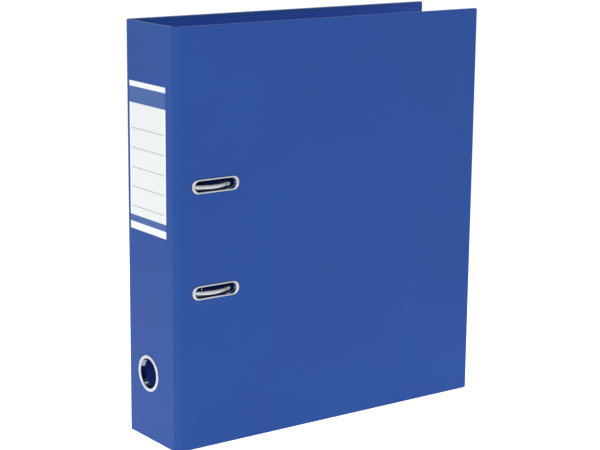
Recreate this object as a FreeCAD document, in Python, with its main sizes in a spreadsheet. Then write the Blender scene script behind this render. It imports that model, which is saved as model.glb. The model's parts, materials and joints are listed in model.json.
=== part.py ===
import FreeCAD, Part
import math
import os
import re
import Sketcher

# A lever arch file for A4 sheets, standing upright.
# +X runs from the spine to the free edges, -Y to the front cover, +Z up. The origin is at the
# bottom, in the middle of the whole object. Millimetres and degrees.
# Bodies are drawn in a frame of their own: x from the spine's outer face, y up the file and
# z, the height, from the back cover's inner face towards the front cover.

SIZES = {
    # the case
    "height": 318,             # case, bottom to top edge
    "depth": 285,              # case, spine to free edge
    "case_thick": 71,          # case, outside to outside
    "foil": 0.3,               # outer covering
    "board": 2.2,              # grey board
    "liner": 0.3,              # inner covering paper
    "bevel_leg": 4.2,          # each leg of the hinge strip's corner
    "strip_half": 0.4,         # half of the hinge strip's thickness, and its end bead's radius
    "crease_gap": 0.3,         # hinge strip's bead to the panel beside it
    # holes with metal rims
    "slot_length": 36.5,       # clear length of a cover slot
    "slot_width": 8.2,         # clear width of a cover slot
    "slot_from_spine": 34.8,   # middle of a slot
    "slot_clear": 0.6,         # arch to the slot's lower side
    "rim_wall": 0.5,           # slot rim, its wall in the cover
    "rim_band": 1.4,           # slot rim, its visible band along the sides
    "rim_end": 1.1,            # how much wider that band is at the ends
    "rim_proud": 1.0,          # slot rim outside the cover
    "rim_back": 0.5,           # slot rim inside the cover
    "finger_hole": 23.0,       # clear diameter of the finger hole
    "finger_rim": 28.5,        # outer diameter of its rim
    "finger_wall": 0.6,        # its wall in the spine
    "finger_proud": 1.0,       # rim outside the spine
    "finger_back": 0.8,        # washer inside the spine
    "finger_up": 52.2,         # centre above the bottom
    "finger_off": 4.2,         # centre behind the spine's middle
    # the label on the spine
    "label_width": 50.7,
    "label_height": 112.0,
    "label_thick": 0.15,
    "label_up": 161.5,         # lower edge above the bottom
    "label_off": 2.6,          # middle behind the spine's middle
    # the mechanism's base plate
    "mech_up": 159.3,          # middle of the mechanism above the bottom
    "plate_from_spine": 5.5,
    "plate_width": 60.0,
    "plate_length": 160.0,
    "plate_rise": 2.5,         # top of the plate over the back cover
    "plate_corner": 6.0,
    "sheet": 1.0,              # plate, lever and compressor sheet
    "rivet_inset": 6.0,        # rivet to the plate's long edges
    "rivet_end": 7.0,          # rivet to the plate's short edges
    "cup_radius": 4.6,         # dished seat round a rivet
    "rivet_radius": 1.6,
    "rivet_head": 3.6,         # radius outside the back cover
    "rivet_proud": 1.0,
    "rivet_roll": 2.8,         # radius of the rolled end in its dished seat
    "rivet_roll_high": 0.8,
    "round_edge": 0.6,         # share of a rim's or head's height that is rounded
    # arches, posts and the axle
    "rod_radius": 2.0,
    "arch_pitch": 80.0,        # filing holes' standard distance
    "arch_span": 41.0,         # arch leg to post leg
    "axle_from_spine": 13.0,
    "arch_top": 66.5,          # middle of the rod at the arch's top
    "arch_crown": 30.0,        # radius of the arch's top
    "arch_corner": 12.0,       # radius of its shoulders
    "bend": 5.0,               # radius where the axle turns up into an arch
    "crank_reach": 10.0,       # axle to crank bar
    "crank_half": 24.0,        # half of the crank's width
    "crank_bend": 4.0,
    "tip_up": 42.3,            # where arch and post meet
    "cone": 1.2,               # height of the post's pointed tip
    "cone_tip": 0.5,           # radius at its top
    "tip_gap": 0.2,
    "running_gap": 0.05,       # radial clearance of everything that turns or slides
    "loop_clear": 0.3,         # bearing loops to the axle's bends beside them
    "collar_radius": 3.6,      # post's collar, and its head under the plate
    "head_high": 0.8,          # rivet and post heads under the plate
    # lever
    "lever_width": 13.0,
    "lever_length": 66.0,      # pivot to thumb end
    "pivot_along": 15.0,       # pivot from the mechanism's middle
    "pivot_radius": 1.5,
    "roller_arm": 7.5,         # pivot to roller
    "roller_angle": 45.0,      # roller below the line to the thumb end
    "roller_radius": 3.2,
    "roller_width": 8.0,
    "roller_pin": 1.2,
    "roller_gap": 0.15,        # roller to crank bar
    "lug_gap": 1.3,            # lever's side to the lug beside it
    "lug_half": 5.0,           # half of a lug's width
    "pin_head": 0.8,           # how far the pivot pin stands out of its lug
    "pin_head_wide": 0.7,      # how much wider its heads are
    "roller_pin_proud": 0.3,
    "web_up": 2.7,             # lever's web over the pivot
    "web_end": 1.5,            # web stops short of the pivot by this
    "end_radius": 4.4,         # pivot to the rounded end
    "end_low": 3.6,            # flange below the pivot
    "end_chamfer": 1.4,
    "ear": 2.2,                # flange round the roller's pin
    "ear_slope": 6.6,          # along the lever, where the flange rises from the ear
    "flange_low": 5.0,         # flange below the web where the ear begins
    "flange_thin": 1.0,        # flange below the web at the thumb end
    "thumb_flat": 10.0,        # raised thumb end
    "thumb_slope": 7.0,
    "thumb_rise": 3.0,
    # leaf spring
    "spring_thick": 0.4,
    "spring_width": 12.0,
    "spring_end": 44.0,        # riveted end, from the spine
    "spring_rivet": 4.0,       # rivet from that end
    "spring_flat": 9.0,        # flat stretch at that end
    "spring_past": 2.0,        # free end past the crank bar's middle
    "spring_room": 0.35,       # between the leaf's own thickness and the crank bar
    "spring_gap": 0.05,        # crank bar to the leaf
    # compressor
    "bar_width": 16.0,
    "bar_length": 104.0,
    "bar_up": 8.0,
    "bar_lip": 3.0,
    "grip_radius": 5.0,
    "grip_neck": 3.0,
    "grip_high": 4.0,
    "grip_under": 1.0,         # grip's neck below the bar
    "bar_corner": 3.0,
}

# Sizes that follow from those above, each written with the names before it.
DERIVED = {
    "panel": "foil + board + liner",
    "front_out": "case_thick - panel",
    "front_in": "front_out - panel",
    "crease_free": "strip_half + crease_gap",
    "panel_start": "bevel_leg + crease_free",
    "slot_above_arch": "slot_width / 2 - rod_radius - slot_clear",
    "axle_up": "plate_rise + spring_thick + spring_room + rod_radius",
    "spine_low": "bevel_leg - panel + crease_free",
    "spine_high": "front_out - bevel_leg - crease_free",
    "case_mid": "case_thick / 2 - panel",
    "slot_end": "(slot_length - slot_width) / 2",
    "hole_wall": "slot_width / 2 + rim_wall",
    "crank_x": "axle_from_spine + crank_reach",
    "post_x": "axle_from_spine + arch_span",
    "plate_end": "plate_from_spine + plate_width",
    "plate_under": "plate_rise - sheet",
    "roller_along": "pivot_along - roller_arm * cos(roller_angle)",
    "roller_up": "axle_up + rod_radius + roller_gap + roller_radius",
    "pivot_up": "roller_up + roller_arm * sin(roller_angle)",
    "lever_low": "crank_x - lever_width / 2",
    "lever_high": "crank_x + lever_width / 2",
    "lug_low": "lever_low - lug_gap",
    "lug_high": "lever_high + lug_gap",
    "bearing": "rod_radius + running_gap",
    "loop_half": "bearing + sheet",
    "loop_low": "crank_half + crank_bend + loop_clear",
    "loop_high": "arch_pitch / 2 - bend - loop_clear",
}

doc = FreeCAD.newDocument("LeverArchFile")
sheet = doc.addObject("Spreadsheet::Sheet", "Sizes")
for row, (alias, value) in enumerate(SIZES.items(), start=1):
    sheet.set(f"A{row}", alias)
    sheet.set(f"B{row}", str(value))
    sheet.setAlias(f"B{row}", alias)
doc.recompute()

nodes = []


def expr(text):
    """Write a size formula as an expression on the sheet's cells."""
    def reference(match):
        word = match.group(0)
        if word in DERIVED:
            return "(" + expr(DERIVED[word]) + ")"
        if word in SIZES:
            return "Sizes." + word
        return word
    return re.sub(r"[a-z_]+", reference, str(text))


def value_of(text):
    """The formula's value now."""
    return float(sheet.evalExpression(expr(text)))


def place(item, up):
    """Turn the drawing frame upright, with y = 0 at the height named by up."""
    item.Placement.Rotation = FreeCAD.Rotation(FreeCAD.Vector(1, 0, 0), 90)
    item.setExpression("Placement.Base.x", expr("-(depth - finger_proud) / 2"))
    item.setExpression("Placement.Base.y", expr("case_mid"))
    item.setExpression("Placement.Base.z", expr(up))


def new_body(label, up="0"):
    body = doc.addObject("PartDesign::Body", label)
    body.Label = label
    place(body, up)
    nodes.append(body)
    return body


def prism(body, plane, low, high, outline, cut=False):
    """Pad or pocket an outline from low to high along the normal of an origin plane."""
    sketch = body.newObject("Sketcher::SketchObject", "sketch")
    support = [item for item in body.Origin.OriginFeatures if item.Role == plane][0]
    sketch.AttachmentSupport = [(support, "")]
    sketch.MapMode = "FlatFace"
    # the XZ plane's normal points along -y
    start = f"-({high})" if plane == "XZ_Plane" else low
    sketch.setExpression("AttachmentOffset.Base.z", expr(start))
    outline(sketch)
    before = body.Shape.Volume if cut else 0
    feature = body.newObject("PartDesign::Pocket" if cut else "PartDesign::Pad", "prism")
    feature.Profile = sketch
    feature.setExpression("Length", expr(f"({high}) - ({low})"))
    feature.Reversed = cut
    sketch.Visibility = False
    doc.recompute()
    if cut and not body.Shape.Volume < before:
        raise RuntimeError(f"{body.Label}: a pocket cuts nothing")
    return feature


def fix(sketch, kind, geometry, point, text):
    """Hold a point's distance from the sketch's origin at a formula."""
    number = sketch.addConstraint(
        Sketcher.Constraint(kind, -1, 1, geometry, point, value_of(text)))
    sketch.setExpression(f"Constraints[{number}]", expr(text))


def polygon(*points):
    """A closed outline of straight lines through the points."""
    def outline(sketch):
        corners = [FreeCAD.Vector(value_of(x), value_of(y), 0) for x, y in points]
        first = sketch.GeometryCount
        for index, corner in enumerate(corners):
            following = corners[(index + 1) % len(corners)]
            sketch.addGeometry(Part.LineSegment(corner, following), False)
        for index, (x, y) in enumerate(points):
            following = first + (index + 1) % len(points)
            sketch.addConstraint(
                Sketcher.Constraint("Coincident", first + index, 2, following, 1))
            fix(sketch, "DistanceX", first + index, 1, x)
            fix(sketch, "DistanceY", first + index, 1, y)
    return outline


def rectangle(x_low, y_low, x_high, y_high):
    return polygon((x_low, y_low), (x_high, y_low), (x_high, y_high), (x_low, y_high))


def circle(x, y, radius):
    def outline(sketch):
        centre = FreeCAD.Vector(value_of(x), value_of(y), 0)
        ring = sketch.addGeometry(
            Part.Circle(centre, FreeCAD.Vector(0, 0, 1), value_of(radius)), False)
        fix(sketch, "DistanceX", ring, 3, x)
        fix(sketch, "DistanceY", ring, 3, y)
        number = sketch.addConstraint(Sketcher.Constraint("Radius", ring, value_of(radius)))
        sketch.setExpression(f"Constraints[{number}]", expr(radius))
    return outline


def stadium(start, end, radius):
    """Two half circles about start and end, joined by straight sides."""
    def outline(sketch):
        low = FreeCAD.Vector(value_of(start[0]), value_of(start[1]), 0)
        high = FreeCAD.Vector(value_of(end[0]), value_of(end[1]), 0)
        size = value_of(radius)
        along = high - low
        turn = math.atan2(along.y, along.x)
        side = FreeCAD.Vector(-math.sin(turn), math.cos(turn), 0) * size
        axis = FreeCAD.Vector(0, 0, 1)
        quarter = math.pi / 2
        at_end = sketch.addGeometry(
            Part.ArcOfCircle(Part.Circle(high, axis, size), turn - quarter, turn + quarter), False)
        back = sketch.addGeometry(Part.LineSegment(high + side, low + side), False)
        at_start = sketch.addGeometry(
            Part.ArcOfCircle(Part.Circle(low, axis, size), turn + quarter, turn + 3 * quarter), False)
        forth = sketch.addGeometry(Part.LineSegment(low - side, high - side), False)
        loop = [at_end, back, at_start, forth]
        for index, edge in enumerate(loop):
            sketch.addConstraint(Sketcher.Constraint("Tangent", edge, 2, loop[(index + 1) % 4], 1))
        for arc, centre in ((at_start, start), (at_end, end)):
            fix(sketch, "DistanceX", arc, 3, centre[0])
            fix(sketch, "DistanceY", arc, 3, centre[1])
        sketch.addConstraint(Sketcher.Constraint("Equal", at_start, at_end))
        number = sketch.addConstraint(Sketcher.Constraint("Radius", at_end, size))
        sketch.setExpression(f"Constraints[{number}]", expr(radius))
    return outline


def round_edges(body, radius, chosen):
    """Fillet the edges for which chosen(edge) holds."""
    base = body.Tip
    names = [f"Edge{number}" for number, edge in enumerate(base.Shape.Edges, start=1) if chosen(edge)]
    fillet = body.newObject("PartDesign::Fillet", "fillet")
    fillet.Base = (base, names)
    fillet.setExpression("Radius", expr(radius))
    doc.recompute()


# ---------------------------------------------------------------- the case

SLOTS = {"upper": "mech_up + arch_pitch / 2 + slot_above_arch",
         "lower": "mech_up - arch_pitch / 2 + slot_above_arch"}
RIVETS = [(x, side) for x in ("plate_from_spine + rivet_inset", "plate_end - rivet_inset")
          for side in ("-", "")]
RIVET_ALONG = "(plate_length / 2 - rivet_end)"


def layers(name, plane, box, inner, outer, holes):
    """Foil tray, board and liner of one panel. inner and outer are its faces along the plane's
    normal, and the foil wraps the outer face and the four edges."""
    low_x, low_y, high_x, high_y = box
    inset = (f"({low_x}) + foil", f"({low_y}) + foil", f"({high_x}) - foil", f"({high_y}) - foil")
    inwards = value_of(inner) > value_of(outer)
    sign = "+" if inwards else "-"
    foil_face = f"({outer}) {sign} foil"
    board_face = f"({foil_face}) {sign} board"
    stack = {"foil": (outer, inner), "board": (foil_face, board_face), "liner": (board_face, inner)}
    for layer, faces in stack.items():
        body = new_body(f"{name}_{layer}")
        low, high = faces if inwards else faces[::-1]
        prism(body, plane, low, high, rectangle(*(box if layer == "foil" else inset)))
        if layer == "foil":
            hollow = (foil_face, inner) if inwards else (inner, foil_face)
            prism(body, plane, *hollow, rectangle(*inset), cut=True)
        for hole in holes:
            prism(body, plane, low, high, hole, cut=True)


def front_cover():
    holes = [stadium(("slot_from_spine - slot_end", up), ("slot_from_spine + slot_end", up), "hole_wall")
             for up in SLOTS.values()]
    layers("front", "XY_Plane", ("panel_start", "0", "depth", "height"), "front_in", "front_out", holes)


def back_cover():
    holes = [circle(x, f"mech_up {side or '+'} {RIVET_ALONG}", "rivet_radius") for x, side in RIVETS]
    layers("back", "XY_Plane", ("panel_start", "0", "depth", "height"), "0", "-panel", holes)


def spine():
    hole = circle("finger_up", "case_mid - finger_off", "finger_hole / 2 + finger_wall")
    layers("spine", "YZ_Plane", ("0", "spine_low", "height", "spine_high"), "panel", "0", [hole])


def hinge_strips():
    """Thin strips across the two bevelled corners, each with a round bead on both creases."""
    front = (("strip_half", "front_out - bevel_leg"), ("bevel_leg", "front_out - strip_half"))
    back = (("strip_half", "bevel_leg - panel"), ("bevel_leg", "strip_half - panel"))
    for name, ends in (("front_hinge_strip", front), ("back_hinge_strip", back)):
        body = new_body(name)
        prism(body, "XZ_Plane", "0", "height", stadium(*ends, "strip_half"))


def slot_rims():
    """Plated rims clinched through the front cover's two slots."""
    for name, up in SLOTS.items():
        ends = (("slot_from_spine - slot_end", up), ("slot_from_spine + slot_end", up))
        wide = (("slot_from_spine - slot_end - rim_end", up), ("slot_from_spine + slot_end + rim_end", up))
        body = new_body(f"slot_eyelet_{name}")
        prism(body, "XY_Plane", "front_in - rim_back", "front_out + rim_proud",
              stadium(*ends, "hole_wall"))
        prism(body, "XY_Plane", "front_out", "front_out + rim_proud",
              stadium(*wide, "slot_width / 2 + rim_band"))
        prism(body, "XY_Plane", "front_in - rim_back", "front_in",
              stadium(*wide, "slot_width / 2 + rim_band"))
        prism(body, "XY_Plane", "front_in - rim_back", "front_out + rim_proud",
              stadium(*ends, "slot_width / 2"), cut=True)
        rim_top = value_of("front_out + rim_proud")
        outer_half = value_of("slot_width / 2 + rim_band")
        middle = value_of(up)

        def outer_rim(edge):
            box = edge.BoundBox
            flat = abs(box.ZMin - rim_top) < 1e-3 and abs(box.ZMax - rim_top) < 1e-3
            reach = max(abs(box.YMin - middle), abs(box.YMax - middle))
            return flat and abs(reach - outer_half) < 1e-3
        round_edges(body, "min(rim_band; rim_proud) * round_edge", outer_rim)


def finger_hole():
    """Rim pressed through the spine from outside, and the washer that holds it inside."""
    centre = ("finger_up", "case_mid - finger_off")
    rim = new_body("finger_ring")
    prism(rim, "YZ_Plane", "-finger_proud", "panel + finger_back",
          circle(*centre, "finger_hole / 2 + finger_wall"))
    prism(rim, "YZ_Plane", "-finger_proud", "0", circle(*centre, "finger_rim / 2"))
    prism(rim, "YZ_Plane", "-finger_proud", "panel + finger_back",
          circle(*centre, "finger_hole / 2"), cut=True)
    outside = -value_of("finger_proud")
    round_edges(rim, "finger_proud * round_edge",
                lambda edge: abs(edge.BoundBox.XMin - outside) < 1e-3
                and edge.BoundBox.YLength > value_of("finger_rim") - 0.1)
    washer = new_body("finger_washer")
    prism(washer, "YZ_Plane", "panel", "panel + finger_back", circle(*centre, "finger_rim / 2 - finger_back"))
    prism(washer, "YZ_Plane", "panel", "panel + finger_back",
          circle(*centre, "finger_hole / 2 + finger_wall"), cut=True)


def spine_label():
    body = new_body("spine_label")
    middle = "case_mid - label_off"
    prism(body, "YZ_Plane", "-label_thick", "0",
          rectangle("label_up", f"{middle} - label_width / 2",
                    "label_up + label_height", f"{middle} + label_width / 2"))


# ---------------------------------------------------------------- the fixed mechanism

def base_plate():
    """Pressed plate: a raised field with a down-turned rim, four dished rivet seats, two loops
    that hold the axle and two lugs for the lever's pin."""
    body = new_body("base_plate", "mech_up")
    prism(body, "XY_Plane", "0", "plate_rise",
          rectangle("plate_from_spine", "-plate_length / 2", "plate_end", "plate_length / 2"))
    round_edges(body, "plate_corner", lambda edge: edge.BoundBox.ZLength > value_of("plate_rise") - 1e-3)
    prism(body, "XY_Plane", "0", "plate_under",
          rectangle("plate_from_spine + sheet", "sheet - plate_length / 2",
                    "plate_end - sheet", "plate_length / 2 - sheet"), cut=True)
    for x, side in RIVETS:
        seat = (x, side + RIVET_ALONG)
        prism(body, "XY_Plane", "0", "plate_rise", circle(*seat, "cup_radius"))
        prism(body, "XY_Plane", "sheet", "plate_rise", circle(*seat, "cup_radius - sheet"), cut=True)
        prism(body, "XY_Plane", "0", "sheet", circle(*seat, "rivet_radius"), cut=True)
    for side in ("-", ""):
        post = ("post_x", f"{side}arch_pitch / 2")
        prism(body, "XY_Plane", "plate_under", "plate_rise", circle(*post, "rod_radius"), cut=True)
    for low, high in (("loop_low", "loop_high"), ("-loop_high", "-loop_low")):
        prism(body, "XZ_Plane", low, high,
              rectangle("axle_from_spine - loop_half", "plate_under",
                        "axle_from_spine + loop_half", "axle_up"))
        prism(body, "XZ_Plane", low, high, circle("axle_from_spine", "axle_up", "loop_half"))
        prism(body, "XZ_Plane", low, high, circle("axle_from_spine", "axle_up", "bearing"), cut=True)
    for low, high in (("lug_low - sheet", "lug_low"), ("lug_high", "lug_high + sheet")):
        prism(body, "YZ_Plane", low, high,
              rectangle("pivot_along - lug_half", "plate_under", "pivot_along + lug_half", "pivot_up"))
        prism(body, "YZ_Plane", low, high, circle("pivot_along", "pivot_up", "lug_half"))
        prism(body, "YZ_Plane", low, high, circle("pivot_along", "pivot_up", "pivot_radius"), cut=True)
    prism(body, "XY_Plane", "plate_under", "plate_rise",
          circle("spring_end - spring_rivet", "0", "rivet_radius"), cut=True)


def base_rivets():
    """Four rivets through the back cover, headed outside and rolled over in the plate's seats."""
    for number, (x, side) in enumerate(RIVETS, start=1):
        body = new_body(f"base_rivet_{number}", "mech_up")
        spot = (x, side + RIVET_ALONG)
        prism(body, "XY_Plane", "-panel - rivet_proud", "sheet + rivet_roll_high",
              circle(*spot, "rivet_radius"))
        prism(body, "XY_Plane", "-panel - rivet_proud", "-panel", circle(*spot, "rivet_head"))
        prism(body, "XY_Plane", "sheet", "sheet + rivet_roll_high", circle(*spot, "rivet_roll"))
        outside = value_of("-panel - rivet_proud")
        round_edges(body, "rivet_proud * round_edge",
                    lambda edge: edge.BoundBox.ZMax < outside + 1e-3
                    and edge.BoundBox.XLength > value_of("rivet_head"))


def posts():
    """Fixed posts with pointed tips, headed under the plate and collared above it."""
    for name, side in (("upper", ""), ("lower", "-")):
        foot = ("post_x", f"{side}arch_pitch / 2")
        body = new_body(f"post_{name}", "mech_up")
        prism(body, "XY_Plane", "plate_under", "tip_up - tip_gap", circle(*foot, "rod_radius"))
        prism(body, "XY_Plane", "plate_under - head_high", "plate_under", circle(*foot, "collar_radius"))
        prism(body, "XY_Plane", "plate_rise", "plate_rise + sheet", circle(*foot, "collar_radius"))
        tip = body.newObject("PartDesign::AdditiveCone", "tip")
        tip.setExpression("Radius1", expr("cone_tip + cone"))
        tip.setExpression("Radius2", expr("cone_tip"))
        tip.setExpression("Height", expr("cone"))
        tip.AttachmentSupport = [([item for item in body.Origin.OriginFeatures
                                   if item.Role == "XY_Plane"][0], "")]
        tip.MapMode = "FlatFace"
        tip.setExpression("AttachmentOffset.Base.x", expr(foot[0]))
        tip.setExpression("AttachmentOffset.Base.y", expr(foot[1]))
        tip.setExpression("AttachmentOffset.Base.z", expr("tip_up - tip_gap"))
        doc.recompute()


def leaf_spring():
    """Leaf that pushes the crank bar, riveted flat on the plate."""
    body = new_body("leaf_spring", "mech_up")
    rivet_top = "plate_rise + spring_thick"
    free_top = "axle_up - rod_radius - spring_gap"
    prism(body, "XZ_Plane", "-spring_width / 2", "spring_width / 2",
          polygon(("spring_end", "plate_rise"),
                  ("spring_end", rivet_top),
                  ("spring_end - spring_flat", rivet_top),
                  ("crank_x - spring_past", free_top),
                  ("crank_x - spring_past", f"{free_top} - spring_thick"),
                  ("spring_end - spring_flat", "plate_rise")))
    spot = ("spring_end - spring_rivet", "0")
    prism(body, "XY_Plane", "plate_rise", rivet_top, circle(*spot, "rivet_radius"), cut=True)
    rivet = new_body("spring_rivet", "mech_up")
    prism(rivet, "XY_Plane", "plate_under", rivet_top, circle(*spot, "rivet_radius"))
    for low, high in (("plate_under - head_high", "plate_under"),
                      (rivet_top, f"{rivet_top} + head_high")):
        prism(rivet, "XY_Plane", low, high, circle(*spot, "rivet_roll"))


def lever_pivot_pin():
    body = new_body("lever_pivot_pin", "mech_up")
    centre = ("pivot_along", "pivot_up")
    prism(body, "YZ_Plane", "lug_low - sheet - pin_head", "lug_high + sheet + pin_head",
          circle(*centre, "pivot_radius"))
    for low, high in (("lug_low - sheet - pin_head", "lug_low - sheet"),
                      ("lug_high + sheet", "lug_high + sheet + pin_head")):
        prism(body, "YZ_Plane", low, high, circle(*centre, "pivot_radius + pin_head_wide"))


# ---------------------------------------------------------------- the moving mechanism

def ring_arches():
    """One bent rod: arch, axle, crank, axle, arch. Its path runs in space, so it is swept along
    a wire of straight runs and tangent arcs."""
    size = {name: value_of(name) for name in (
        "rod_radius", "arch_pitch", "arch_span", "axle_from_spine", "axle_up", "arch_top",
        "arch_crown", "arch_corner", "bend", "crank_x", "crank_half", "crank_bend", "tip_up",
        "post_x", "cone", "cone_tip", "tip_gap")}
    point = FreeCAD.Vector
    half = size["arch_pitch"] / 2
    middle = size["axle_from_spine"] + size["arch_span"] / 2
    crown_centre = size["arch_top"] - size["arch_crown"]
    shoulder = size["arch_span"] / 2 - size["arch_corner"]
    between = size["arch_crown"] - size["arch_corner"]
    shoulder_up = crown_centre + math.sqrt(between ** 2 - shoulder ** 2)
    lean = math.atan2(shoulder, shoulder_up - crown_centre)

    def on_crown(angle, along):
        return point(middle + size["arch_crown"] * math.sin(angle), along,
                     crown_centre + size["arch_crown"] * math.cos(angle))

    def on_corner(side, angle, along):
        return point(middle + side * (shoulder + size["arch_corner"] * math.sin(angle)), along,
                     shoulder_up + size["arch_corner"] * math.cos(angle))

    def arch(along):
        """Edges from the tip over the post, across the top and down to the axle's bend."""
        steep = (lean + math.pi / 2) / 2
        return [
            Part.LineSegment(point(size["post_x"], along, size["tip_up"]),
                             point(size["post_x"], along, shoulder_up)),
            Part.Arc(point(size["post_x"], along, shoulder_up), on_corner(1, steep, along),
                     on_crown(lean, along)),
            Part.Arc(on_crown(lean, along), on_crown(0, along), on_crown(-lean, along)),
            Part.Arc(on_crown(-lean, along), on_corner(-1, steep, along),
                     point(size["axle_from_spine"], along, shoulder_up)),
            Part.LineSegment(point(size["axle_from_spine"], along, shoulder_up),
                             point(size["axle_from_spine"], along, size["axle_up"] + size["bend"])),
        ]

    def quarter(start, corner, end):
        """Arc that turns a square corner, tangent to both runs."""
        centre = start + end - corner
        radius = (start - centre).Length
        return Part.Arc(start, centre + (corner - centre).normalize() * radius, end)

    corners = [point(size["axle_from_spine"], -half, size["axle_up"]),
               point(size["axle_from_spine"], -size["crank_half"], size["axle_up"]),
               point(size["crank_x"], -size["crank_half"], size["axle_up"]),
               point(size["crank_x"], size["crank_half"], size["axle_up"]),
               point(size["axle_from_spine"], size["crank_half"], size["axle_up"]),
               point(size["axle_from_spine"], half, size["axle_up"])]
    turns = [size["bend"]] + [size["crank_bend"]] * 4 + [size["bend"]]
    path = arch(-half)
    last = path[-1].EndPoint
    for index, corner in enumerate(corners):
        following = corners[index + 1] if index + 1 < len(corners) else corner + point(0, 0, 1)
        before = corner + (last - corner).normalize() * turns[index]
        after = corner + (following - corner).normalize() * turns[index]
        if (before - last).Length > 1e-6:
            path.append(Part.LineSegment(last, before))
        path.append(quarter(before, corner, after))
        last = after
    for edge in reversed(arch(half)):
        edge.reverse()
        path.append(edge)
    wire = Part.Wire([edge.toShape() for edge in path])
    start = path[0].StartPoint
    section = Part.Wire([Part.Circle(start, point(0, 0, 1), size["rod_radius"]).toShape()])
    rod = wire.makePipeShell([section], True, True)
    for along in (-half, half):
        recess = Part.makeCone(size["cone_tip"] + size["cone"] + size["tip_gap"],
                               size["cone_tip"] + size["tip_gap"], size["cone"],
                               point(size["post_x"], along, size["tip_up"]))
        rod = rod.cut(recess)
    item = doc.addObject("Part::Feature", "ring_arches")
    item.Label = "ring_arches"
    item.Shape = rod.Solids[0]
    place(item, "mech_up")
    nodes.append(item)


def lever():
    """Pressed channel with its web outside, ears for the roller's pin and a raised thumb end."""
    body = new_body("lever", "mech_up")
    under = "pivot_up + web_up"
    over = f"{under} + sheet"
    thumb = "pivot_along - lever_length"
    bend_out = f"{thumb} + thumb_flat"
    bend_in = f"{bend_out} + thumb_slope"
    prism(body, "YZ_Plane", "lever_low", "lever_high",
          polygon(("pivot_along + end_radius - end_chamfer", over),
                  (bend_in, over),
                  (bend_out, f"{over} + thumb_rise"),
                  (thumb, f"{over} + thumb_rise"),
                  (thumb, f"{under} + thumb_rise"),
                  (f"{bend_out} + sheet / 2", f"{under} + thumb_rise"),
                  (f"{bend_in} + sheet / 2", f"{under} - flange_thin"),
                  ("roller_along - ear_slope - ear", f"{under} - flange_low"),
                  ("roller_along - ear", "roller_up - ear"),
                  ("roller_along + ear", "roller_up - ear"),
                  ("pivot_along + end_radius - end_chamfer", "pivot_up - end_low"),
                  ("pivot_along + end_radius", "pivot_up")))
    beyond = "pivot_along + end_radius + sheet"
    below = "roller_up - ear - sheet"
    prism(body, "YZ_Plane", "lever_low + sheet", "lever_high - sheet",
          polygon((beyond, f"{over} + sheet"),
                  ("pivot_along - web_end", f"{over} + sheet"),
                  ("pivot_along - web_end", under),
                  (f"{bend_in} + sheet / 4", under),
                  (f"{bend_out} + sheet / 4", f"{under} + thumb_rise"),
                  (f"{bend_out} + sheet / 4", below),
                  (beyond, below)), cut=True)
    prism(body, "YZ_Plane", "lever_low", "lever_high",
          circle("pivot_along", "pivot_up", "pivot_radius + running_gap"), cut=True)
    prism(body, "YZ_Plane", "lever_low", "lever_high",
          circle("roller_along", "roller_up", "roller_pin"), cut=True)


def roller():
    body = new_body("lever_roller", "mech_up")
    spot = ("roller_along", "roller_up")
    low, high = "crank_x - roller_width / 2", "crank_x + roller_width / 2"
    prism(body, "YZ_Plane", low, high, circle(*spot, "roller_radius"))
    prism(body, "YZ_Plane", low, high, circle(*spot, "roller_pin + running_gap"), cut=True)
    pin = new_body("roller_pin", "mech_up")
    prism(pin, "YZ_Plane", "lever_low - roller_pin_proud", "lever_high + roller_pin_proud",
          circle(*spot, "roller_pin"))


def compressor():
    """Pressed bar that slides on the two posts in nylon grips."""
    body = new_body("compressor_bar", "mech_up")
    low, high = "post_x - bar_width / 2", "post_x + bar_width / 2"
    prism(body, "XY_Plane", "bar_up", "bar_up + bar_lip",
          rectangle(low, "-bar_length / 2", high, "bar_length / 2"))
    round_edges(body, "bar_corner", lambda edge: edge.BoundBox.ZLength > value_of("bar_lip") - 1e-3)
    prism(body, "XY_Plane", "bar_up + sheet", "bar_up + bar_lip",
          rectangle(f"{low} + sheet", "sheet - bar_length / 2",
                    f"{high} - sheet", "bar_length / 2 - sheet"), cut=True)
    for side in ("-", ""):
        prism(body, "XY_Plane", "bar_up", "bar_up + sheet",
              circle("post_x", f"{side}arch_pitch / 2", "grip_neck"), cut=True)
    for name, side in (("upper", ""), ("lower", "-")):
        spot = ("post_x", f"{side}arch_pitch / 2")
        grip = new_body(f"compressor_grip_{name}", "mech_up")
        prism(grip, "XY_Plane", "bar_up - grip_under", "bar_up + sheet + grip_high",
              circle(*spot, "grip_neck"))
        prism(grip, "XY_Plane", "bar_up + sheet", "bar_up + sheet + grip_high",
              circle(*spot, "grip_radius"))
        prism(grip, "XY_Plane", "bar_up - grip_under", "bar_up + sheet + grip_high",
              circle(*spot, "rod_radius + running_gap"), cut=True)


for build in (front_cover, back_cover, spine, hinge_strips, slot_rims, finger_hole, spine_label,
              base_plate, base_rivets, posts, leaf_spring, lever_pivot_pin, ring_arches, lever,
              roller, compressor):
    build()
doc.recompute()

for item in doc.Objects:
    if "Invalid" in item.State or "Error" in item.State:
        raise RuntimeError(f"{item.Label}: {item.State}")
for node in nodes:
    if node.Shape.isNull() or not node.Shape.isValid():
        raise RuntimeError(f"{node.Label}: no valid shape")

os.makedirs("parts", exist_ok=True)
for node in nodes:
    node.Shape.exportStep(f"parts/{node.Label}.step")
print(len(nodes), "nodes written")
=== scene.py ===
"""Lever arch file: film-wrapped case, creased film hinges, slot rims, label and lever mechanism."""
import json
import math

import bmesh
import bpy
from mathutils import Matrix, Vector
from mathutils.geometry import tessellate_polygon


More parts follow.
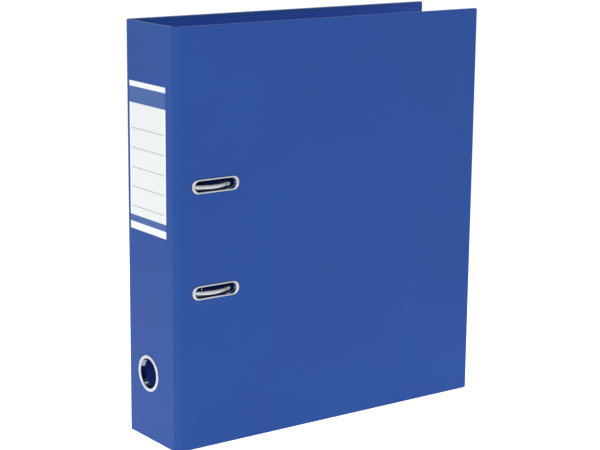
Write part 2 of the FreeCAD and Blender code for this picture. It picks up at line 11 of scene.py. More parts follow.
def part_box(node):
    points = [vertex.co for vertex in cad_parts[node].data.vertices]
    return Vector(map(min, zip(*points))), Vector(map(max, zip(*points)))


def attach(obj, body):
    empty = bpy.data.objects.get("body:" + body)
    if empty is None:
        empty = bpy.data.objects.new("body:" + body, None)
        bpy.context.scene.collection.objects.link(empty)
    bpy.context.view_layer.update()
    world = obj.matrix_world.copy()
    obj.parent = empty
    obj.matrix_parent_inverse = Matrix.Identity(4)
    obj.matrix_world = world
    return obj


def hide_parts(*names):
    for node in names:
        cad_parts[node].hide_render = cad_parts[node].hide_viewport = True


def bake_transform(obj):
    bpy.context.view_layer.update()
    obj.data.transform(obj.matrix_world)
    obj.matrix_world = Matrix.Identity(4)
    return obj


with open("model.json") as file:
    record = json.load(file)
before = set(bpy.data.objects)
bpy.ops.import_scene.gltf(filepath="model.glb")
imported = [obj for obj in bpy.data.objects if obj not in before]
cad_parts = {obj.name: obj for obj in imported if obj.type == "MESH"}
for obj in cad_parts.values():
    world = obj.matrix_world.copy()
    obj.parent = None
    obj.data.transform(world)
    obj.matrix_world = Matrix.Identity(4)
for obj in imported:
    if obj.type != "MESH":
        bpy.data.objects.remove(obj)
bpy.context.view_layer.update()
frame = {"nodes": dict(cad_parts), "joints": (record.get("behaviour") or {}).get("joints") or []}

MM = 0.001

# ---------------------------------------------------------------- places, all from the frame

SPINE_LOW, SPINE_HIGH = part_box("spine_foil")
FRONT_LOW, FRONT_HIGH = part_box("front_foil")
BACK_LOW, BACK_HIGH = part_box("back_foil")
LABEL_LOW, LABEL_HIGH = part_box("spine_label")
RIM_LOW, RIM_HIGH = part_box("finger_ring")
PLATE_LOW, PLATE_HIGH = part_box("base_plate")
LEVER_LOW, LEVER_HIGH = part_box("lever")
PIN_LOW, PIN_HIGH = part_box("lever_pivot_pin")
BAR_LOW, BAR_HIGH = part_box("compressor_bar")
LEAF_LOW, LEAF_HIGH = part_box("leaf_spring")
HEIGHT = SPINE_HIGH[2]
PANEL = SPINE_HIGH[0] - SPINE_LOW[0]
BACK_FACE = BACK_LOW[1]                # y of the back cover's inner face, where the mechanism sits
JOINTS = {joint["name"]: joint for joint in frame["joints"]}


def joint_point(name):
    """A point on a joint's axis, in the frame."""
    return Vector(JOINTS[name]["pos_m"])


def raised(point):
    """How far a point stands above the back cover's inner face."""
    return BACK_FACE - point[1]


AXLE = joint_point("rings_turn")
PIVOT = joint_point("lever_lift")
PLATE_RISE = raised(LEAF_HIGH)         # the plate's upper face, on which the leaf spring lies

# ---------------------------------------------------------------- the case's own sizes

STRIP_HALF = 0.4 * MM                  # half of the film hinge's thickness
LINING = 0.2 * MM
LINING_PROUD = 0.1 * MM                # how far the lining's edge is seen to stand up
LINING_CORNER = 1.0 * MM
COVER_MARGIN = 3.5 * MM                # lining's edge to the cover's edge
SPINE_MARGIN = 2.5 * MM
EDGE = 0.75 * MM                       # film's radius round the board's edges
CORNER = 1.6 * MM                      # board's corner radius
CREASE_REACH = 0.55 * MM               # crease's bend, to each side of its line
CREASE_STEPS = 8
FILM_EDGE = 0.3 * MM                   # rounding of the hinge film's ends
SLOT_RADIUS = 4.1 * MM
SLOT_WALL = 0.5 * MM
SLOT_END = 1.1 * MM                    # how much wider the rim is at the slot's ends
FINGER_RADIUS = 11.5 * MM
FINGER_WALL = 0.6 * MM
RIM_BITE = 0.05 * MM                   # how deep a rim's bead and lip press into the cover
CLINCH_SOFT = 0.12 * MM                # broken edge of a rim's clinched lip
SLOT_CROWN = 0.8                       # a bead's fullness: 1 is half an ellipse, less is fuller
FINGER_CROWN = 0.7
RIM_STEPS = 96                         # sides of the finger hole and its rim
BEAD_STEPS = 12
LABEL_CORNER = 0.5 * MM
PAPER_EDGE = 0.4                       # label's edge rounding, as a share of its thickness
LABEL_SIDE = 2.2 * MM                  # paper left bare beside the writing field
HEAD_BAND = (4.0 * MM, 16.2 * MM)      # printed bands, from the label's top
FOOT_BAND = (101.2 * MM, 106.4 * MM)
RULED_LINES = 5
FIRST_LINE = 35.2 * MM
LINE_STEP = 14.8 * MM
LINE_HALF = 0.32 * MM

# ---------------------------------------------------------------- the mechanism's own sizes

SHEET = 1.0 * MM                       # plate, lever and compressor bar
PLATE_CORNER = 6.0 * MM
PLATE_BEND = 1.6 * MM                  # outer radius of the plate's turned-down rim
SOFT = 0.15 * MM                       # broken edge of a pressing
CUP_RADIUS = 4.6 * MM                  # dished seat round a rivet
CUP_BEND = 0.6 * MM
RIVET_RADIUS = 1.6 * MM
ROLL_RADIUS = 2.8 * MM                 # a rivet's rolled end
ROLL_HIGH = 0.8 * MM
RIVET_PROUD = 1.0 * MM                 # its head outside the back cover
ROD_RADIUS = 2.0 * MM
RUNNING_GAP = 0.05 * MM
COLLAR_RADIUS = 3.6 * MM
HEAD_HIGH = 0.8 * MM
LOOP_NEAR = 28.3 * MM                  # bearing loops from the mechanism's middle
LOOP_FAR = 34.7 * MM
PIVOT_RADIUS = 1.5 * MM
PIN_HEAD = 0.8 * MM
ROLLER_PIN = 1.2 * MM
WEB_END = 1.5 * MM                     # lever's web stops short of the pivot
END_CHAMFER = 1.4 * MM                 # lever's end beyond the pivot, where its corners begin
END_LOW = 3.6 * MM                     # and how far it reaches below the pivot
EAR = 2.2 * MM                         # half width of the flange's ear round the roller
EAR_SLOPE = 6.6 * MM                   # run of the slope that leads down to it
FLANGE_LOW = 5.0 * MM                  # flange below the web, where that slope begins
FLANGE_THIN = 1.0 * MM                 # and at the thumb's end
THUMB_FLAT = 10.0 * MM
THUMB_SLOPE = 7.0 * MM
THUMB_RISE = 3.0 * MM
THUMB_CORNER = 4.0 * MM
THUMB_BEND = 3.0 * MM
WEB_EDGE = 0.8 * MM                    # rounding of the web's upper edges
FLANGE_NECK = 2.0 * MM                 # radii of the flange's outline, from the thumb end on
FLANGE_BELLY = 4.0 * MM
EAR_CORNER = 1.6 * MM
END_CORNER = 2.5 * MM
END_TOP = 1.0 * MM
SPRING_THICK = 0.4 * MM
SPRING_FLAT = 9.0 * MM
SPRING_BEND = 8.0 * MM
SPRING_EDGE = 0.12 * MM
BAR_BEND = 1.3 * MM                    # outer radius of the compressor bar's lip
BAR_CORNER = 3.0 * MM
GRIP_NECK = 3.0 * MM
GRIP_UNDER = 1.0 * MM
GRIP_RIDGES = 18
RIDGE_DEEP = 0.35 * MM
CONE_HIGH = 1.2 * MM
CONE_TIP = 0.5 * MM

# ---------------------------------------------------------------- materials

def linear(hex_colour):
    """sRGB hex to linear RGBA."""
    values = [int(hex_colour[i:i + 2], 16) / 255 for i in (1, 3, 5)]
    return [v / 12.92 if v <= 0.04045 else ((v + 0.055) / 1.055) ** 2.4 for v in values] + [1.0]


def add_node(tree, kind, settings=None, links=None):
    """One node, with its settings by attribute or input name and its links by input name."""
    node = tree.nodes.new(kind)
    for key, value in (settings or {}).items():
        if hasattr(node, key):
            setattr(node, key, value)
        else:
            node.inputs[key].default_value = value
    for key, source in (links or {}).items():
        tree.links.new(source, node.inputs[key])
    return node


def new_material(name, **shader):
    """A material, its node tree, its shader with the given sockets set, and the object's own
    coordinates."""
    material = bpy.data.materials.new(name)
    material.use_nodes = True
    tree = material.node_tree
    surface = tree.nodes["Principled BSDF"]
    for key, value in shader.items():
        surface.inputs[key.replace("_", " ").title().replace("Ior", "IOR")].default_value = value
    place = add_node(tree, "ShaderNodeTexCoord")
    return material, tree, surface, place.outputs["Object"]


def per_mm(size):
    """Texture scale for a pattern that repeats about every size millimetres."""
    return 1 / (size * MM)


def mix_colours(tree, factor, first, second):
    """Blend two colours, each a hex value or another node's output."""
    mix = add_node(tree, "ShaderNodeMix", {"data_type": "RGBA"})
    tree.links.new(factor, mix.inputs[0])
    for socket, colour in ((mix.inputs[6], first), (mix.inputs[7], second)):
        if isinstance(colour, str):
            socket.default_value = linear(colour)
        else:
            tree.links.new(colour, socket)
    return mix.outputs[2]


FILM_SPECULAR = 0.06                   # the calendered grain scatters part of the film's gloss


def embossed_film(name, dark, light, roughness):
    """Polypropylene film laminated on board: satin, with a fine calendered grain that softens
    highlights, and the board's slow unevenness, which makes reflections waver."""
    material, tree, surface, where = new_material(name, roughness=roughness, ior=1.49,
                                                  specular_ior_level=FILM_SPECULAR)
    cloud = add_node(tree, "ShaderNodeTexNoise", {"Scale": per_mm(90), "Detail": 3.0},
                     {"Vector": where})
    tone = mix_colours(tree, cloud.outputs["Fac"], dark, light)
    tree.links.new(tone, surface.inputs["Base Color"])
    # the real grain is near 0.1 mm; it is drawn at 0.45 mm so that it shows
    grain = add_node(tree, "ShaderNodeTexNoise", {"Scale": per_mm(0.45), "Detail": 2.0},
                     {"Vector": where})
    board = add_node(tree, "ShaderNodeTexNoise", {"Scale": per_mm(38), "Detail": 1.0},
                     {"Vector": where})
    slow = add_node(tree, "ShaderNodeBump", {"Strength": 0.12, "Distance": 0.6 * MM},
                    {"Height": board.outputs["Fac"]})
    fine = add_node(tree, "ShaderNodeBump", {"Strength": 0.10, "Distance": 0.05 * MM},
                    {"Height": grain.outputs["Fac"], "Normal": slow.outputs["Normal"]})
    tree.links.new(fine.outputs["Normal"], surface.inputs["Normal"])
    rough = add_node(tree, "ShaderNodeMapRange", {"To Min": roughness - 0.04, "To Max": roughness + 0.05},
                     {"Value": grain.outputs["Fac"]})
    tree.links.new(rough.outputs["Result"], surface.inputs["Roughness"])
    return material


def grey_board():
    """Recycled grey board: matt, flecked with paler and darker fibres."""
    material, tree, surface, where = new_material("grey_board", roughness=0.9, ior=1.45)
    fibre = add_node(tree, "ShaderNodeTexNoise", {"Scale": per_mm(1.2), "Detail": 6.0},
                     {"Vector": where})
    tone = mix_colours(tree, fibre.outputs["Fac"], "#8b8880", "#b3afa6")
    tree.links.new(tone, surface.inputs["Base Color"])
    bump = add_node(tree, "ShaderNodeBump", {"Strength": 0.3, "Distance": 0.05 * MM},
                    {"Height": fibre.outputs["Fac"]})
    tree.links.new(bump.outputs["Normal"], surface.inputs["Normal"])
    return material


def band(tree, height, low, high):
    """1 between two heights given in metres, else 0."""
    over = add_node(tree, "ShaderNodeMath", {"operation": "GREATER_THAN"})
    tree.links.new(height, over.inputs[0])
    over.inputs[1].default_value = low
    under = add_node(tree, "ShaderNodeMath", {"operation": "LESS_THAN"})
    tree.links.new(height, under.inputs[0])
    under.inputs[1].default_value = high
    both = add_node(tree, "ShaderNodeMath", {"operation": "MULTIPLY"})
    tree.links.new(over.outputs[0], both.inputs[0])
    tree.links.new(under.outputs[0], both.inputs[1])
    return both.outputs[0]


def printed_label():
    """Coated label paper: bright white with a writing field a shade greyer, five ruled lines and
    two plain blue bands; faint fibres keep it from looking like plastic."""
    material, tree, surface, where = new_material("printed_label", roughness=0.5, ior=1.5)
    split = add_node(tree, "ShaderNodeSeparateXYZ", None, {"Vector": where})
    up, across = split.outputs["Z"], split.outputs["Y"]
    top = LABEL_HIGH[2]
    fibre = add_node(tree, "ShaderNodeTexNoise", {"Scale": per_mm(2.0), "Detail": 4.0},
                     {"Vector": where})
    colour = mix_colours(tree, fibre.outputs["Fac"], "#cbcfd1", "#d2d6d8")
    field = band(tree, up, top - FOOT_BAND[0], top - HEAD_BAND[1])
    inside = band(tree, across, LABEL_LOW[1] + LABEL_SIDE, LABEL_HIGH[1] - LABEL_SIDE)
    both = add_node(tree, "ShaderNodeMath", {"operation": "MULTIPLY"})
    tree.links.new(field, both.inputs[0])
    tree.links.new(inside, both.inputs[1])
    colour = mix_colours(tree, both.outputs[0], colour, "#c8cccd")
    for number in range(RULED_LINES):
        middle = top - FIRST_LINE - number * LINE_STEP
        line = band(tree, up, middle - LINE_HALF, middle + LINE_HALF)
        ruled = add_node(tree, "ShaderNodeMath", {"operation": "MULTIPLY"})
        tree.links.new(line, ruled.inputs[0])
        tree.links.new(inside, ruled.inputs[1])
        colour = mix_colours(tree, ruled.outputs[0], colour, "#8d9295")
    for start, end in (HEAD_BAND, FOOT_BAND):
        colour = mix_colours(tree, band(tree, up, top - end, top - start), colour, "#1c4789")
    tree.links.new(colour, surface.inputs["Base Color"])
    bump = add_node(tree, "ShaderNodeBump", {"Strength": 0.08, "Distance": 0.03 * MM},
                    {"Height": fibre.outputs["Fac"]})
    tree.links.new(bump.outputs["Normal"], surface.inputs["Normal"])
    return material


def plated_steel(name, dull, bright, roughness, streak):
    """Plated or blued steel: a slightly dulled mirror with fine drawing or pressing streaks, and
    small clouds of haze that break up its reflections."""
    material, tree, surface, where = new_material(name, metallic=1.0)
    haze = add_node(tree, "ShaderNodeTexNoise", {"Scale": per_mm(14), "Detail": 3.0}, {"Vector": where})
    tree.links.new(mix_colours(tree, haze.outputs["Fac"], dull, bright), surface.inputs["Base Color"])
    rough = add_node(tree, "ShaderNodeMapRange", {"To Min": roughness, "To Max": roughness + 0.06},
                     {"Value": haze.outputs["Fac"]})
    tree.links.new(rough.outputs["Result"], surface.inputs["Roughness"])
    stretch = add_node(tree, "ShaderNodeMapping", None, {"Vector": where})
    stretch.inputs["Scale"].default_value = (1.0, 1.0, 0.05)
    line = add_node(tree, "ShaderNodeTexNoise", {"Scale": per_mm(streak), "Detail": 2.0},
                    {"Vector": stretch.outputs["Vector"]})
    bump = add_node(tree, "ShaderNodeBump", {"Strength": 0.06, "Distance": 0.02 * MM},
                    {"Height": line.outputs["Fac"]})
    tree.links.new(bump.outputs["Normal"], surface.inputs["Normal"])
    return material


def moulded_nylon():
    """Black moulded nylon: low sheen with the fine spark grain of the mould."""
    material, tree, surface, where = new_material("moulded_nylon", roughness=0.45, ior=1.53)
    grain = add_node(tree, "ShaderNodeTexNoise", {"Scale": per_mm(0.5), "Detail": 3.0}, {"Vector": where})
    tone = mix_colours(tree, grain.outputs["Fac"], "#141416", "#242528")
    tree.links.new(tone, surface.inputs["Base Color"])
    bump = add_node(tree, "ShaderNodeBump", {"Strength": 0.2, "Distance": 0.05 * MM},
                    {"Height": grain.outputs["Fac"]})
    tree.links.new(bump.outputs["Normal"], surface.inputs["Normal"])
    return material


OUTER_FILM = embossed_film("blue_pp_film", "#244282", "#264789", 0.32)
INNER_FILM = embossed_film("blue_lining_film", "#274291", "#2b4799", 0.44)
GREY_BOARD = grey_board()
LABEL = printed_label()
NICKEL = plated_steel("nickel_plated_wire", "#adb1b3", "#bec2c4", 0.08, 0.4)
PRESSED = plated_steel("nickel_plated_pressing", "#b4b4b0", "#c2c2bd", 0.20, 0.9)
SPRING = plated_steel("blued_spring_steel", "#565b64", "#666b74", 0.28, 0.5)
NYLON = moulded_nylon()

# ---------------------------------------------------------------- mesh making

SHARP = math.radians(32)               # faces that meet at more than this keep a crisp edge
WELD = 1e-7                            # points closer than this are one


def finish_mesh(name, bm, material, body, replaced=()):
    """Turn a bmesh into a piece that rides on a body."""
    bmesh.ops.remove_doubles(bm, verts=bm.verts, dist=WELD)
    loose = [edge for edge in bm.edges if not edge.link_faces]
    bmesh.ops.delete(bm, geom=loose, context="EDGES")
    bmesh.ops.recalc_face_normals(bm, faces=bm.faces)
    mesh = bpy.data.meshes.new(name)
    smooth = [face.smooth for face in bm.faces]
    bm.to_mesh(mesh)
    bm.free()
    mesh.set_sharp_from_angle(angle=SHARP)
    # finding the sharp edges makes every face smooth, so the broad flat ones are put back
    mesh.polygons.foreach_set("use_smooth", smooth)
    mesh.materials.append(material)
    piece = bpy.data.objects.new(name, mesh)
    bpy.context.scene.collection.objects.link(piece)
    if body:
        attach(piece, body)
    if replaced:
        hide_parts(*replaced)
    return piece


def skin(bm, loops, closed=False, caps=True):
    """Smooth quads between loops of equal length; closed joins the last loop to the first. The
    caps stay flat."""
    rows = [[bm.verts.new(point) for point in loop] for loop in loops]
    count = len(rows[0])
    pairs = list(zip(rows, rows[1:]))
    if closed:
        pairs.append((rows[-1], rows[0]))
    for low, high in pairs:
        for index in range(count):
            after = (index + 1) % count
            bm.faces.new((low[index], low[after], high[after], high[index])).smooth = True
    if caps and not closed:
        bm.faces.new(rows[0][::-1])
        bm.faces.new(rows[-1])
    return rows


def arc(centre, radius, start, end, steps=4):
    """Points on an arc, from one angle in degrees to another."""
    points = []
    for step in range(steps + 1):
        angle = math.radians(start + (end - start) * step / steps)
        points.append((centre[0] + radius * math.cos(angle), centre[1] + radius * math.sin(angle)))
    return points


def circle(centre, radius, steps=40):
    """Points round a circle, without repeating the first."""
    return arc(centre, radius, 0, 360 - 360 / steps, steps - 1)


def round_corners(corners, closed=True, steps=6):
    """Outline or path through (u, v, radius) corners, each turned on an arc of its radius."""
    line = []
    for index, (u, v, radius) in enumerate(corners):
        corner = Vector((u, v))
        if radius <= 0 or (not closed and index in (0, len(corners) - 1)):
            line.append(corner)
            continue
        back = (Vector(corners[index - 1][:2]) - corner).normalized()
        forth = (Vector(corners[(index + 1) % len(corners)][:2]) - corner).normalized()
        half = back.angle(forth) / 2
        centre = corner + (back + forth).normalized() * radius / math.sin(half)
        first = corner + back * radius / math.tan(half) - centre
        sweep = math.copysign(math.pi - 2 * half, -back.cross(forth))
        for step in range(steps + 1):
            line.append(centre + Matrix.Rotation(sweep * step / steps, 2) @ first)
    return line


def rounded_rectangle(low, high, radius, steps=6):
    """Outline between two opposite corners."""
    return round_corners([(low[0], low[1], radius), (high[0], low[1], radius),
                          (high[0], high[1], radius), (low[0], high[1], radius)], steps=steps)


def shrink(outline, distance):
    """An anticlockwise outline moved inwards."""
    moved = []
    for index, point in enumerate(outline):
        first = (point - outline[index - 1]).normalized()
        second = (outline[(index + 1) % len(outline)] - point).normalized()
        inwards = Vector((-first.y - second.y, first.x + second.x)).normalized()
        moved.append(point + inwards * distance / max(inwards.dot(Vector((-first.y, first.x))), 0.5))
    return moved


def slot_outline(centre, straight, radius, steps=24):
    """Points round a slot that runs along the first coordinate."""
    return (arc((centre[0] + straight, centre[1]), radius, -90, 90, steps)
            + arc((centre[0] - straight, centre[1]), radius, 90, 270, steps))


def fill(bm, rims):
    """Flat faces inside the first of the (vertices, outline) rims and outside the others. They
    are left flat-shaded, which keeps them free of the edge's rounding."""
    verts = [vert for row, outline in rims for vert in row]
    flat = [[Vector((u, v, 0)) for u, v in outline] for row, outline in rims]
    for corners in tessellate_polygon(flat):
        bm.faces.new([verts[corner] for corner in corners])


def pressing(bm, walls, to_space):
    """Pressed sheet. A wall is an outline that takes a size, and (size, height) pairs that lead
    from the sheet's upper face round to its lower one: first its rim, then its holes and seats."""
    upper, lower = [], []
    for outline_at, steps in walls:
        outlines = [outline_at(size) for size, height in steps]
        rows = skin(bm, [[to_space(u, v, height) for u, v in outline]
                         for outline, (size, height) in zip(outlines, steps)], caps=False)
        upper.append((rows[0], outlines[0]))
        lower.append((rows[-1], outlines[-1]))
    fill(bm, upper)
    fill(bm, lower)


def flat_sheet(bm, outline_at, faces, edge, holes, to_space, steps=5):
    """A sheet between two depths with rounded edges. outline_at(inset) gives its outline, holes
    are outlines cut straight through, and to_space(u, v, depth) places a point."""
    low, high = faces
    rim = arc((edge, high - edge), edge, 90, 180, steps) + arc((edge, low + edge), edge, 180, 270, steps)
    through = ((0, high), (0, low))
    walls = [(outline_at, rim)] + [(lambda size, hole=hole: hole, through) for hole in holes]
    pressing(bm, walls, to_space)


def strip(bm, path, thick, rounding, to_space):
    """A bent strip along (along, height, half width) points of its middle, with rounded upper
    edges. to_space(along, across, height) places a point."""
    loops = []
    for index, (along, height, half) in enumerate(path):
        before, after = path[max(index - 1, 0)], path[min(index + 1, len(path) - 1)]
        run = Vector((after[0] - before[0], after[1] - before[1])).normalized()
        section = [(-half, -thick / 2), (half, -thick / 2)]
        section += arc((half - rounding, thick / 2 - rounding), rounding, 0, 90)
        section += arc((rounding - half, thick / 2 - rounding), rounding, 90, 180)
        loops.append([to_space(along - run.y * over, across, height + run.x * over)
                      for across, over in section])
    skin(bm, loops)


def lathe(bm, profile, centre, axis, steps=48, ripple=None):
    """Turn a closed profile of (radius, distance along the axis) round an axis of the frame."""
    axis = Vector(axis)
    side = Vector((0, 0, 1)) if abs(axis.z) < 0.5 else Vector((1, 0, 0))
    other = axis.cross(side)
    loops = []
    for step in range(steps):
        angle = 2 * math.pi * step / steps
        out = side * math.cos(angle) + other * math.sin(angle)
        loops.append([centre + out * (ripple(radius, angle) if ripple else radius) + axis * along
                      for radius, along in profile])
    skin(bm, loops, closed=True)


def dome(radius, low, high, steps=6):
    """Profile of a domed end, from its edge at low to the axis at high."""
    return [(radius * math.cos(math.pi / 2 * step / steps),
             low + (high - low) * math.sin(math.pi / 2 * step / steps)) for step in range(steps + 1)]


# ---------------------------------------------------------------- the case

def lining(name, low, high, margin, holes, to_space, body):
    """Inner lining glued inside the film's turned-in margin."""
    def outline_at(inset):
        edge = margin + inset
        return rounded_rectangle((low[0] + edge, low[1] + edge), (high[0] - edge, high[1] - edge),
                                 LINING_CORNER)
    bm = bmesh.new()
    flat_sheet(bm, outline_at, (PANEL - LINING - LINING_PROUD, PANEL), LINING_PROUD, holes, to_space)
    finish_mesh(f"{name}_lining", bm, INNER_FILM, body, (f"{name}_liner",))


def cover_board(name, low, high, outside, holes):
    """One film-wrapped cover and its lining. outside is the y of its outer face."""
    inwards = 1 if outside < 0 else -1

    def to_space(u, v, depth):
        return Vector((u, outside + inwards * depth, v))

    def outline_at(inset):
        # square at low[0], where the film runs on into the hinge
        bottom, top, edge = low[2] + inset, high[2] - inset, high[0] - inset
        radius = CORNER - inset
        return round_corners([(low[0], bottom, 0), (edge, bottom, radius), (edge, top, radius),
                              (low[0], top, 0)])
    bm = bmesh.new()
    flat_sheet(bm, outline_at, (0.0, PANEL - LINING), EDGE, holes, to_space)
    finish_mesh(f"{name}_film", bm, OUTER_FILM, f"{name}_cover", (f"{name}_foil",))
    lining(name, (low[0], low[2]), (high[0], high[2]), COVER_MARGIN, holes, to_space, f"{name}_cover")


def spine_board():
    """The film-wrapped spine with its round hole, and its lining."""
    low, high = SPINE_LOW, SPINE_HIGH
    hole = circle(((RIM_LOW[1] + RIM_HIGH[1]) / 2, (RIM_LOW[2] + RIM_HIGH[2]) / 2),
                  FINGER_RADIUS + FINGER_WALL, RIM_STEPS)

    def to_space(u, v, depth):
        return Vector((low[0] + depth, u, v))

    def outline_at(inset):
        # square at both sides, where the film runs on into the hinges
        bottom, top = low[2] + inset, high[2] - inset
        return round_corners([(low[1], bottom, 0), (high[1], bottom, 0), (high[1], top, 0),
                              (low[1], top, 0)])
    bm = bmesh.new()
    flat_sheet(bm, outline_at, (0.0, PANEL - LINING), EDGE, [hole], to_space)
    finish_mesh("spine_film", bm, OUTER_FILM, "spine", ("spine_foil",))
    lining("spine", (low[1], low[2]), (high[1], high[2]), SPINE_MARGIN, [hole], to_space, "spine")


def crease_skin(name, panel_edge, crease, across, replaced=()):
    """Film hinge from a panel's edge over one crease to the middle of the strip. panel_edge,
    crease and across are points on the film's middle layer, seen from above. Its outer face runs
    on from the panel's and round the crease without a step."""
    towards_panel = (panel_edge - crease).normalized()
    towards_strip = (across - crease).normalized()
    begin = crease + towards_panel * CREASE_REACH
    end = crease + towards_strip * CREASE_REACH
    path = [panel_edge]
    for step in range(CREASE_STEPS + 1):
        share = step / CREASE_STEPS
        path.append(begin * (1 - share) ** 2 + crease * (2 * share * (1 - share)) + end * share ** 2)
    path.append(across)
    left, right = [], []
    for index, point in enumerate(path):
        run = (path[min(index + 1, len(path) - 1)] - path[max(index - 1, 0)]).normalized()
        side = Vector((-run.y, run.x, 0))
        left.append((point, side))
        right.append((point, -side))
    ring = left + right[::-1]
    levels = arc((FILM_EDGE, FILM_EDGE), FILM_EDGE, 270, 180)
    levels += [(less, HEIGHT - up) for less, up in reversed(levels)]
    bm = bmesh.new()
    skin(bm, [[point + side * (STRIP_HALF - less) + Vector((0, 0, up)) for point, side in ring]
              for less, up in levels])
    piece = finish_mesh(name, bm, OUTER_FILM, None, replaced)
    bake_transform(piece)


def hinges():
    """Four film hinges: spine to strip and strip to cover, front and back."""
    for side, outer in (("front", FRONT_LOW[1]), ("back", BACK_HIGH[1])):
        sign = 1 if outer < 0 else -1
        spine_joint = joint_point("front_spine_crease" if side == "front" else "spine_crease")
        cover_joint = joint_point("front_cover_crease" if side == "front" else "back_crease")
        spine_joint.z = cover_joint.z = 0
        middle = (spine_joint + cover_joint) / 2
        spine_edge = Vector((spine_joint.x, SPINE_LOW[1] if side == "front" else SPINE_HIGH[1], 0))
        cover_edge = Vector((FRONT_LOW[0], outer + sign * STRIP_HALF, 0))
        crease_skin(f"{side}_hinge_film_spine", spine_edge, spine_joint, middle,
                    (f"{side}_hinge_strip",))
        crease_skin(f"{side}_hinge_film_cover", cover_edge, cover_joint, middle)


def slot_places():
    """Middle of each slot and half of its straight run."""
    places = {}
    for name in ("upper", "lower"):
        low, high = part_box(f"slot_eyelet_{name}")
        straight = (high[0] - low[0]) / 2 - SLOT_END - (high[2] - low[2]) / 2
        places[name] = (((low[0] + high[0]) / 2, (low[2] + high[2]) / 2), straight)
    return places


def slot_rim(name, centre, straight):
    """Plated rim rolled over the slot's edge: a round bead outside, a straight throat through the
    cover and a flat clinched lip inside."""
    low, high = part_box(f"slot_eyelet_{name}")
    outer, inner = FRONT_LOW[1], high[1]
    proud = outer - low[1]
    band_width = (high[2] - low[2]) / 2 - SLOT_RADIUS
    seat, soft = RIM_BITE, CLINCH_SOFT
    profile = [(0.0, inner - soft), (soft, inner), (band_width - soft, inner), (band_width, inner - soft),
               (band_width - soft, FRONT_HIGH[1] - seat), (SLOT_WALL, FRONT_HIGH[1] - seat),
               (SLOT_WALL, outer + seat), (band_width, outer + seat)]
    half = band_width / 2
    for across, over in arc((0, 0), 1, 0, 180, BEAD_STEPS):
        profile.append((half + half * across, outer - proud * max(over, 0) ** SLOT_CROWN))
    bm = bmesh.new()
    loops = []
    for offset, y in profile:
        outline = slot_outline(centre, straight + SLOT_END * offset / band_width, SLOT_RADIUS + offset)
        loops.append([Vector((u, y, v)) for u, v in outline])
    skin(bm, loops, closed=True)
    finish_mesh(f"slot_rim_{name}", bm, NICKEL, "front_cover", (f"slot_eyelet_{name}",))


def finger_rim():
    """Rolled metal rim of the finger hole, with a round bead and a polished throat, and the
    washer that holds it inside the spine."""
    centre = Vector((SPINE_LOW[0], (RIM_LOW[1] + RIM_HIGH[1]) / 2, (RIM_LOW[2] + RIM_HIGH[2]) / 2))
    proud = SPINE_LOW[0] - RIM_LOW[0]
    inner = RIM_HIGH[0] - SPINE_LOW[0]
    outer = (RIM_HIGH[1] - RIM_LOW[1]) / 2
    wall = FINGER_RADIUS + FINGER_WALL
    half = (outer - FINGER_RADIUS) / 2
    profile = [(wall, inner - SOFT), (wall - SOFT, inner), (FINGER_RADIUS + SOFT, inner),
               (FINGER_RADIUS, inner - SOFT)]
    for across, over in arc((0, 0), 1, 180, 0, BEAD_STEPS):
        profile.append((FINGER_RADIUS + half * (1 + across), -proud * max(over, 0) ** FINGER_CROWN))
    profile += [(outer, SOFT / 2), (wall, SOFT / 2)]
    bm = bmesh.new()
    lathe(bm, profile, centre, (1, 0, 0), RIM_STEPS)
    finish_mesh("finger_rim", bm, NICKEL, "spine", ("finger_ring",))
    low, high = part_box("finger_washer")
    edge = (high[1] - low[1]) / 2
    thick = high[0] - low[0]
    centre.x = low[0]
    washer = [(wall, 0), (edge, 0), (edge, thick - 2 * SOFT), (edge - SOFT, thick - SOFT / 2),
              (edge - 3 * SOFT, thick), (wall, thick)]
    bm = bmesh.new()
    lathe(bm, washer, centre, (1, 0, 0), RIM_STEPS)
    finish_mesh("hole_washer", bm, NICKEL, "spine", ("finger_washer",))


def label():
    """Paper label with slightly rounded corners and softened edges."""
    low, high = LABEL_LOW, LABEL_HIGH
    thick = high[0] - low[0]

    def to_space(u, v, depth):
        return Vector((low[0] + depth, u, v))

    def outline_at(inset):
        return rounded_rectangle((low[1] + inset, low[2] + inset), (high[1] - inset, high[2] - inset),
                                 LABEL_CORNER)
    bm = bmesh.new()
    flat_sheet(bm, outline_at, (0.0, thick), thick * PAPER_EDGE, [], to_space)
    finish_mesh("paper_label", bm, LABEL, "spine", ("spine_label",))


# ---------------------------------------------------------------- the mechanism

def above(u, v, height):
    """A point at x = u and z = v, raised above the back cover's inner face."""
    return Vector((u, BACK_FACE - height, v))


def node_middle(node):
    """Middle of a node's box."""
    low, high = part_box(node)
    return Vector((low[i] + high[i]) / 2 for i in range(3))


def turned(name, node, profile, axis, base, material, body, slot="nickel_plate", **how):
    """Replace a node by a piece turned round its own middle line, measured from base."""
    bm = bmesh.new()
    lathe(bm, profile, base, axis, **how)
    finish_mesh(name, bm, material, body, (node,))


UPWARDS = Vector((0, -1, 0))           # away from the back cover
ACROSS = Vector((1, 0, 0))


